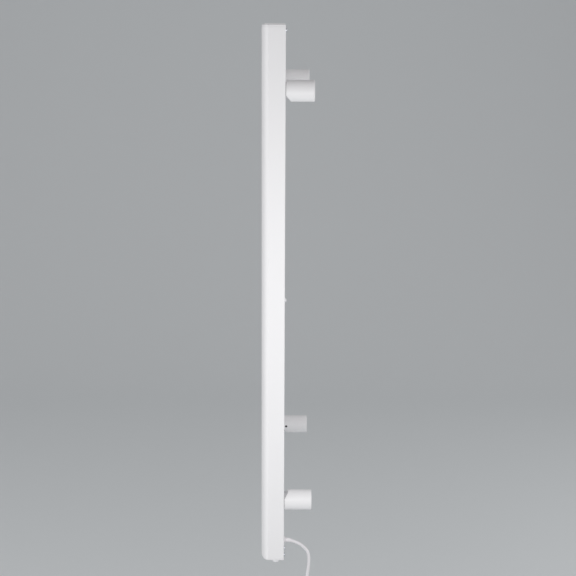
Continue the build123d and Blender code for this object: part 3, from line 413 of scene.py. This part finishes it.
@dataclass
class Studio:
    """Pale floor that sweeps up behind the rail, a dim sky and soft lights."""

    target: Point = (0.2, -0.07, 0.0)
    floor_height: float = -1.25
    floor_front: float = 7.0
    floor_back: float = -3.2
    sweep_radius: float = 2.4
    sweep_steps: int = 24
    wall_top: float = 9.0
    half_width: float = 60.0
    floor_colour: Colour = (0.76, 0.79, 0.80)
    floor_roughness: float = 0.9
    sky_colour: Colour = (1.0, 0.985, 1.0)
    sky_strength: float = 0.42
    lights: tuple[Softbox, ...] = (
        Softbox("key_light", (1.28, -0.10, -0.06), (0.7, 0.4), 6.6),
        Softbox("front_light", (0.5, -3.2, 0.4), (2.6, 2.4), 29.0),
        Softbox("wall_side_light", (-0.6, 3.2, 0.6), (2.6, 2.4), 34.0),
    )

    def hang(self, light: Softbox) -> None:
        """Hang one soft light that faces the rail.

        Args:
            light: The light to hang.
        """
        data = bpy.data.lights.new(light.name, "AREA")
        data.shape = "RECTANGLE"
        data.size, data.size_y = light.size
        data.energy = light.power
        lamp = add_object(light.name, data)
        lamp.location = light.place
        aim = Vector(self.target) - Vector(light.place)
        lamp.rotation_euler = aim.to_track_quat("-Z", "Y").to_euler()

    def sweep_line(self) -> list[tuple[float, float]]:
        """Draw the floor's section, from its front to the top of its back.

        Returns:
            X and height of each corner.
        """
        line = [(self.floor_front, self.floor_height)]
        for step in range(self.sweep_steps + 1):
            turn = pi / 2 * step / self.sweep_steps
            reach = self.floor_back - self.sweep_radius * sin(turn)
            line.append((reach, self.floor_height + self.sweep_radius * (1 - cos(turn))))
        return line + [(line[-1][0], self.wall_top)]

    def lay_floor(self) -> None:
        """Lay the floor as one seamless sheet."""
        mesh = bmesh.new()
        corners = [mesh.verts.new((x, -self.half_width, z)) for x, z in self.sweep_line()]
        edges = [mesh.edges.new(pair) for pair in zip(corners, corners[1:])]
        grown = bmesh.ops.extrude_edge_only(mesh, edges=edges)["geom"]
        far = [part for part in grown if isinstance(part, bmesh.types.BMVert)]
        bmesh.ops.translate(mesh, vec=(0, 2 * self.half_width, 0), verts=far)
        floor = settle(mesh, "studio_floor")
        material = bpy.data.materials.new("studio_floor")
        material.use_nodes = True
        shader = material.node_tree.nodes["Principled BSDF"]
        shader.inputs["Base Color"].default_value = (*self.floor_colour, 1)
        shader.inputs["Roughness"].default_value = self.floor_roughness
        floor.data.materials.append(material)

    def build(self) -> None:
        """Set the sky, hang the lights and lay the floor."""
        world = bpy.data.worlds.new("studio_sky")
        world.use_nodes = True
        sky = world.node_tree.nodes["Background"]
        sky.inputs["Color"].default_value = (*self.sky_colour, 1)
        sky.inputs["Strength"].default_value = self.sky_strength
        bpy.context.scene.world = world
        bpy.context.scene.view_settings.view_transform = "Standard"
        for light in self.lights:
            self.hang(light)
        self.lay_floor()


@dataclass
class MainsCord:
    """The cord: its free stretch, and the hank that holds the rest of its length."""

    route: tuple[Point, ...] = (
        (0.230, -0.03711, -0.46857),
        (0.230, -0.02893, -0.47123),
        (0.230, -0.0190, -0.4770),
        (0.230, -0.0105, -0.4845),
        (0.230, -0.0052, -0.4930),
        (0.230, -0.0034, -0.5050),
        (0.230, -0.0043, -0.5220),
        (0.230, -0.0070, -0.5405),
        (0.230, -0.0070, -0.5570),
    )
    radius: float = 3.0 * MM
    length: float = 1.449
    hank_middle: Point = (0.203, -0.007, -0.650)
    lanes: int = 2
    lane_step: float = 8.0 * MM
    waist: float = 4.0 * MM
    belly: float = 19.0 * MM
    half_height: float = 60.0 * MM
    layer_step: float = 6.6 * MM
    run_steps: int = 4
    fold_steps: int = 6
    fold_swell: float = 1.02
    tail_reach: float = 22.0 * MM
    tail_drop: float = 52.0 * MM
    tail_end: float = 6.0 * MM
    tail_steps: int = 5
    round_steps: int = 5
    length_steps: int = 8
    spline_order: int = 3

    @property
    def run_count(self) -> int:
        """Number of straight runs in the hank."""
        return 4 * self.lanes - 1

    def hank_point(self, across: float, depth: float, level: float) -> Point:
        """Place a point of the hank in the frame.

        Args:
            across: Distance to the right of the hank's middle line, in metres.
            depth: Distance in front of its rear layer, in metres.
            level: Height above its waist, in metres.

        Returns:
            The point.
        """
        middle = self.hank_middle
        return (middle[0] + across, middle[1] - depth, middle[2] + level)

    def width(self, lane: int, level: float) -> float:
        """Half width of a lane at a height: narrow at the waist and wide at the belly.

        Args:
            lane: Number of the lane, from the outer one.
            level: Height above the waist, in metres.

        Returns:
            Distance from the hank's middle line, in metres.
        """
        extra = (self.lanes - 1 - lane) * self.lane_step
        share = min(abs(level) / self.half_height, 1.0)
        return extra + self.waist + (self.belly - self.waist) * ease(share)

    def run_points(self, run: int) -> list[Point]:
        """Points of one run, from one end of the hank to the other.

        Args:
            run: Number of the run.

        Returns:
            The points, in order.
        """
        half = 2 * self.lanes
        lane = run // 2 if run < half else (self.run_count - 1 - run) // 2
        side = 1 if run % 2 == 0 else -1
        points = []
        for step in range(-self.run_steps, self.run_steps + 1):
            share = step / self.run_steps
            level = -side * share * self.half_height
            climb = ease(max(share, 0.0)) if run == half - 1 else float(run >= half)
            across = side * self.width(lane, level)
            points.append(self.hank_point(across, climb * self.layer_step, level))
        return points

    def fold_points(self, start: Point, end: Point, upward: bool) -> list[Point]:
        """Points of the half turn between two runs.

        Args:
            start: Last point of the run before.
            end: First point of the run after.
            upward: Whether the fold lies at the hank's top.

        Returns:
            The points between the two, in order.
        """
        middle = (Vector(start) + Vector(end)) / 2
        arm = (Vector(start) - Vector(end)) / 2
        rise = Vector((0, 0, arm.length if upward else -arm.length))
        points = []
        for step in range(1, self.fold_steps):
            turn = pi * step / self.fold_steps
            points.append(tuple(middle + (arm * cos(turn) + rise * sin(turn)) * self.fold_swell))
        return points

    def points(self) -> list[Point]:
        """Lay out the whole cord, from the outlet to the plug.

        Returns:
            The control points, in order.
        """
        runs = [self.run_points(run) for run in range(self.run_count)]
        runs[-1] = runs[-1][: self.run_steps + 1]
        points = list(self.route)
        for number, run in enumerate(runs):
            if number:
                points += self.fold_points(runs[number - 1][-1], run[0], number % 2 == 0)
            points += run
        across = self.waist + (self.lanes - 1) * self.lane_step
        for step in range(1, self.tail_steps + 1):
            share = step / self.tail_steps
            depth = self.layer_step + self.tail_reach * ease(share)
            points.append(self.hank_point(across, depth, -self.tail_drop * share))
        end = self.layer_step + self.tail_reach
        points.append(self.hank_point(across, end, -self.tail_drop - self.tail_end))
        return points

    def build(self, paint: Paintbox, with_pieces: list[bpy.types.Object]) -> bpy.types.Object:
        """Make the cord as one smooth spline.

        Args:
            paint: The materials.
            with_pieces: The separate pieces on the cord. Not used.

        Returns:
            The cord's curve object.
        """
        data = bpy.data.curves.new("mains_cord_line", "CURVE")
        data.dimensions = "3D"
        data.bevel_depth = self.radius
        data.bevel_resolution = self.round_steps
        data.resolution_u = self.length_steps
        data.use_fill_caps = True
        points = self.points()
        spline = data.splines.new("NURBS")
        spline.points.add(len(points) - 1)
        for knot, point in zip(spline.points, points):
            knot.co = (*point, 1.0)
        spline.order_u = self.spline_order
        spline.use_endpoint_u = True
        cord = add_object("mains_cord_line", data)
        enlist(cord, Body.RAIL, Slot.CORD_PLASTIC, paint, "mains_cord", "cord_hank")
        return cord


@dataclass
class CordOutlet:
    """Moulded outlet: a neck through the upright, a flange and a sleeve that bends down."""

    seat: Point = (0.230, -0.052, -0.467)
    neck: tuple[float, float] = (5.95 * MM, 6.5 * MM)
    flange: tuple[float, float] = (7.0 * MM, 2.5 * MM)
    root: float = 4.2 * MM
    tip: float = 3.5 * MM
    mouth: float = 3.05 * MM
    mouth_depth: float = 1.5 * MM
    straight: float = 5.0 * MM
    bend: float = 32.0 * MM
    turn: float = radians(18)
    rings: int = 12
    sides: int = 48
    rounding: float = 0.5 * MM
    rounding_faces: int = 3
    rounded_turn: float = radians(50)

    def profile(self) -> Profile:
        """Draw the straight outlet's section.

        Returns:
            Radius and distance from the seat of each corner.
        """
        reach = self.bend * self.turn
        corners = [(0.0, -self.neck[1]), (self.neck[0], -self.neck[1]), (self.neck[0], 0.0)]
        corners += [(self.flange[0], 0.0), (self.flange[0], self.flange[1]), (self.root, self.flange[1])]
        for ring in range(self.rings + 1):
            share = ring / self.rings
            corners.append((self.root + (self.tip - self.root) * share, self.straight + reach * share))
        end = self.straight + reach
        corners += [(self.mouth, end), (self.mouth, end - self.mouth_depth)]
        return corners + [(0.0, end - self.mouth_depth)]

    def bend_down(self, mesh: bmesh.types.BMesh) -> None:
        """Bend the straight outlet down past its straight root.

        Args:
            mesh: The outlet, spun about Z from its seat.
        """
        seat = Vector(self.seat)
        for vertex in mesh.verts:
            across, lift, along = vertex.co.x, vertex.co.y, vertex.co.z
            angle = max(along - self.straight, 0.0) / self.bend
            reach = min(along, self.straight) + self.bend * sin(angle)
            drop = self.bend * (1 - cos(angle))
            vertex.co = seat + Vector((across, reach + lift * sin(angle), lift * cos(angle) - drop))

    def build(self, paint: Paintbox) -> bpy.types.Object:
        """Make the outlet.

        Args:
            paint: The materials.

        Returns:
            The outlet's object.
        """
        mesh = lathe(self.profile(), self.sides)
        bevel(mesh, sharp_edges(mesh, self.rounded_turn), self.rounding, self.rounding_faces)
        self.bend_down(mesh)
        bmesh.ops.recalc_face_normals(mesh, faces=mesh.faces)
        piece = settle(mesh, "cord_outlet")
        enlist(piece, Body.RAIL, Slot.CORD_PLASTIC, paint, "cord_relief")
        return piece


@dataclass
class Plug:
    """Round earthed plug with a ribbed cord sleeve and two flats for its side contacts."""

    base: Point = (0.215, -0.0356, -0.708)
    sleeve_length: float = 22.0 * MM
    sleeve_root: float = 3.7 * MM
    sleeve_end: float = 6.0 * MM
    ribs: int = 6
    rib_depth: float = 0.5 * MM
    back: float = 13.0 * MM
    front: float = 18.5 * MM
    grip_length: float = 20.0 * MM
    front_length: float = 16.0 * MM
    flat: float = 17.7 * MM
    rounding: float = 1.2 * MM
    rounding_faces: int = 4
    grip_inset: float = 0.7 * MM
    grip_depth: float = 0.6 * MM
    steps: int = 64
    rounded_turn: float = radians(12)
    grip_margin: float = 2.0 * MM
    grip_period: int = 4
    grip_faces: int = 2
    grip_slope: float = 0.5

    def profile(self) -> Profile:
        """Draw the plug's section.

        Returns:
            Radius and distance from the cord's end of each corner.
        """
        corners: Profile = [(0.0, 0.0)]
        pitch = self.sleeve_length / (2 * self.ribs + 1)
        for ring in range(2 * self.ribs + 2):
            along = ring * pitch
            share = along / self.sleeve_length
            radius = self.sleeve_root + (self.sleeve_end - self.sleeve_root) * share
            inside = radius - self.rib_depth
            if ring % 2:
                corners += [(radius, along), (inside, along)]
            else:
                corners += [(inside, along), (radius, along)] if ring else [(radius, along)]
        corners[-1] = (corners[-1][0], self.sleeve_length)
        total = self.sleeve_length + self.grip_length + self.front_length
        corners.append((self.back, self.sleeve_length))
        corners.append((self.front, self.sleeve_length + self.grip_length))
        corners.append((self.front, total))
        return corners + [(0.0, total)]

    def build(self, paint: Paintbox) -> bpy.types.Object:
        """Make the plug's body.

        Args:
            paint: The materials.

        Returns:
            The plug body's object.
        """
        mesh = lathe(self.profile(), self.steps)
        lowest = self.sleeve_length - MM / 2
        outer = [edge for edge in sharp_edges(mesh, self.rounded_turn) if edge.verts[0].co.z > lowest]
        bevel(mesh, outer, self.rounding, self.rounding_faces)
        self.sink_grips(mesh)
        for side in (1, -1):
            cut = bmesh.ops.bisect_plane(
                mesh,
                geom=mesh.verts[:] + mesh.edges[:] + mesh.faces[:],
                plane_co=(0, side * self.flat, 0),
                plane_no=(0, side, 0),
                clear_outer=True,
            )
            rim = [part for part in cut["geom_cut"] if isinstance(part, bmesh.types.BMEdge)]
            bmesh.ops.holes_fill(mesh, edges=rim, sides=0)
        stand(mesh, self.base, -UP)
        bmesh.ops.recalc_face_normals(mesh, faces=mesh.faces)
        piece = settle(mesh, "plug_shell")
        enlist(piece, Body.RAIL, Slot.PLUG_PLASTIC, paint, "plug_body")
        return piece

    def sink_grips(self, mesh: bmesh.types.BMesh) -> None:
        """Sink narrow finger grips round the tapered part.

        Args:
            mesh: The plug, spun about Z.
        """
        low = self.sleeve_length + self.grip_margin
        high = self.sleeve_length + self.grip_length - self.grip_margin
        grips = []
        for face in mesh.faces:
            middle = face.calc_center_median()
            turn = atan2(middle.y, middle.x) % tau
            number = int(turn / tau * self.steps)
            chosen = number % self.grip_period < self.grip_faces
            if low < middle.z < high and chosen and abs(face.normal.z) < self.grip_slope:
                grips.append(face)
        sunk = bmesh.ops.inset_region(
            mesh, faces=grips, thickness=self.grip_inset, depth=-self.grip_depth
        )
        log.info("sank %d grip faces", len(sunk["faces"]))


@dataclass
class HankTie:
    """Flat band that holds the hank at its waist, with its free end on the front."""

    middle: Point = (0.203, -0.0103, -0.650)
    half_width: float = 15.4 * MM
    half_depth: float = 6.7 * MM
    thickness: float = 1.6 * MM
    height: float = 8.0 * MM
    corner: float = 3.2 * MM
    corner_faces: int = 6
    end_slope: float = 0.9
    rounding: float = 0.35 * MM
    rounding_faces: int = 2
    rounded_turn: float = radians(60)
    buckle_faces: int = 3
    buckle_turn: float = radians(30)
    buckle: tuple[float, float, float] = (7.0 * MM, 1.0 * MM, 9.6 * MM)

    def build(self, paint: Paintbox) -> list[bpy.types.Object]:
        """Make the band and its buckle.

        Args:
            paint: The materials.

        Returns:
            The two objects.
        """
        mesh = bmesh.new()
        bmesh.ops.create_cube(mesh, size=1.0)
        width = 2 * (self.half_width + self.thickness)
        depth = 2 * (self.half_depth + self.thickness)
        bmesh.ops.scale(mesh, vec=(width, depth, self.height), verts=mesh.verts)
        upright = [edge for edge in mesh.edges if abs(edge.verts[0].co.z - edge.verts[1].co.z) > MM]
        bevel(mesh, upright, self.corner, self.corner_faces)
        ends = [face for face in mesh.faces if abs(face.normal.z) > self.end_slope]
        bmesh.ops.delete(mesh, geom=ends, context="FACES")
        bmesh.ops.recalc_face_normals(mesh, faces=mesh.faces)
        bmesh.ops.solidify(mesh, geom=mesh.faces[:], thickness=self.thickness)
        bmesh.ops.recalc_face_normals(mesh, faces=mesh.faces)
        bevel(mesh, sharp_edges(mesh, self.rounded_turn), self.rounding, self.rounding_faces)
        stand(mesh, self.middle, UP)
        band = settle(mesh, "hank_band")
        enlist(band, Body.RAIL, Slot.TIE_PLASTIC, paint, "cord_tie")
        return [band, self.build_buckle(paint)]

    def build_buckle(self, paint: Paintbox) -> bpy.types.Object:
        """Make the flat buckle on the front of the band.

        Args:
            paint: The materials.

        Returns:
            The buckle's object.
        """
        mesh = bmesh.new()
        bmesh.ops.create_cube(mesh, size=1.0)
        bmesh.ops.scale(mesh, vec=self.buckle, verts=mesh.verts)
        bevel(mesh, sharp_edges(mesh, self.buckle_turn), self.rounding, self.buckle_faces)
        front = self.middle[1] - self.half_depth - self.thickness - self.buckle[1] / 2
        stand(mesh, (self.middle[0], front, self.middle[2]), UP)
        piece = settle(mesh, "hank_buckle")
        enlist(piece, Body.RAIL, Slot.TIE_PLASTIC, paint)
        return piece


@dataclass
class PushButton:
    """Round button with a dished foot, its flange, and the stem that works the switch."""

    place: Point = (0.230, -0.0675, -0.510)
    radius: float = 6.5 * MM
    foot: float = 9.0 * MM
    dish: float = 0.9 * MM
    rim: float = 1.4 * MM
    flange: tuple[float, float] = (7.0 * MM, 1.5 * MM)
    stem: tuple[float, float] = (2.0 * MM, 11.0 * MM)
    dish_rings: int = 6
    rounding: float = 0.6 * MM
    rounding_faces: int = 4
    rounded_turn: float = radians(60)

    def profile(self) -> Profile:
        """Draw the button's section.

        Returns:
            Radius and height above its lowest point of each corner.
        """
        bowl = self.radius - self.rim
        corners: Profile = []
        for ring in range(self.dish_rings + 1):
            share = ring / self.dish_rings
            corners.append((bowl * share, self.dish * (1 - share * share)))
        top = self.foot + self.flange[1]
        corners += [(self.radius, 0.0), (self.radius, self.foot), (self.flange[0], self.foot)]
        corners += [(self.flange[0], top), (self.stem[0], top), (self.stem[0], top + self.stem[1])]
        return corners + [(0.0, top + self.stem[1])]

    def build(self, paint: Paintbox) -> bpy.types.Object:
        """Make the button.

        Args:
            paint: The materials.

        Returns:
            The button's object.
        """
        mesh = lathe(self.profile())
        rim = [
            edge
            for edge in sharp_edges(mesh, self.rounded_turn)
            if all(vertex.co.z < self.foot / 2 for vertex in edge.verts)
        ]
        bevel(mesh, rim, self.rounding, self.rounding_faces)
        stand(mesh, self.place, UP)
        piece = settle(mesh, "push_button")
        enlist(piece, Body.BUTTON, Slot.BUTTON_PLASTIC, paint, "power_button")
        return piece


def main() -> None:
    """Build the camera, the finishes, the pieces and the studio, in order."""
    logging.basicConfig(level=logging.INFO, format="%(name)s: %(message)s")
    StudioCamera().build()
    paint = Paintbox()
    paint.dress_frame()
    plug = Plug().build(paint)
    ties = HankTie().build(paint)
    on_cord = [plug, frame["nodes"]["plug_pins"], frame["nodes"]["plug_earth_contacts"], *ties]
    MainsCord().build(paint, on_cord)
    CordOutlet().build(paint)
    PushButton().build(paint)
    Studio().build()


if __name__ == "__main__":
    main()
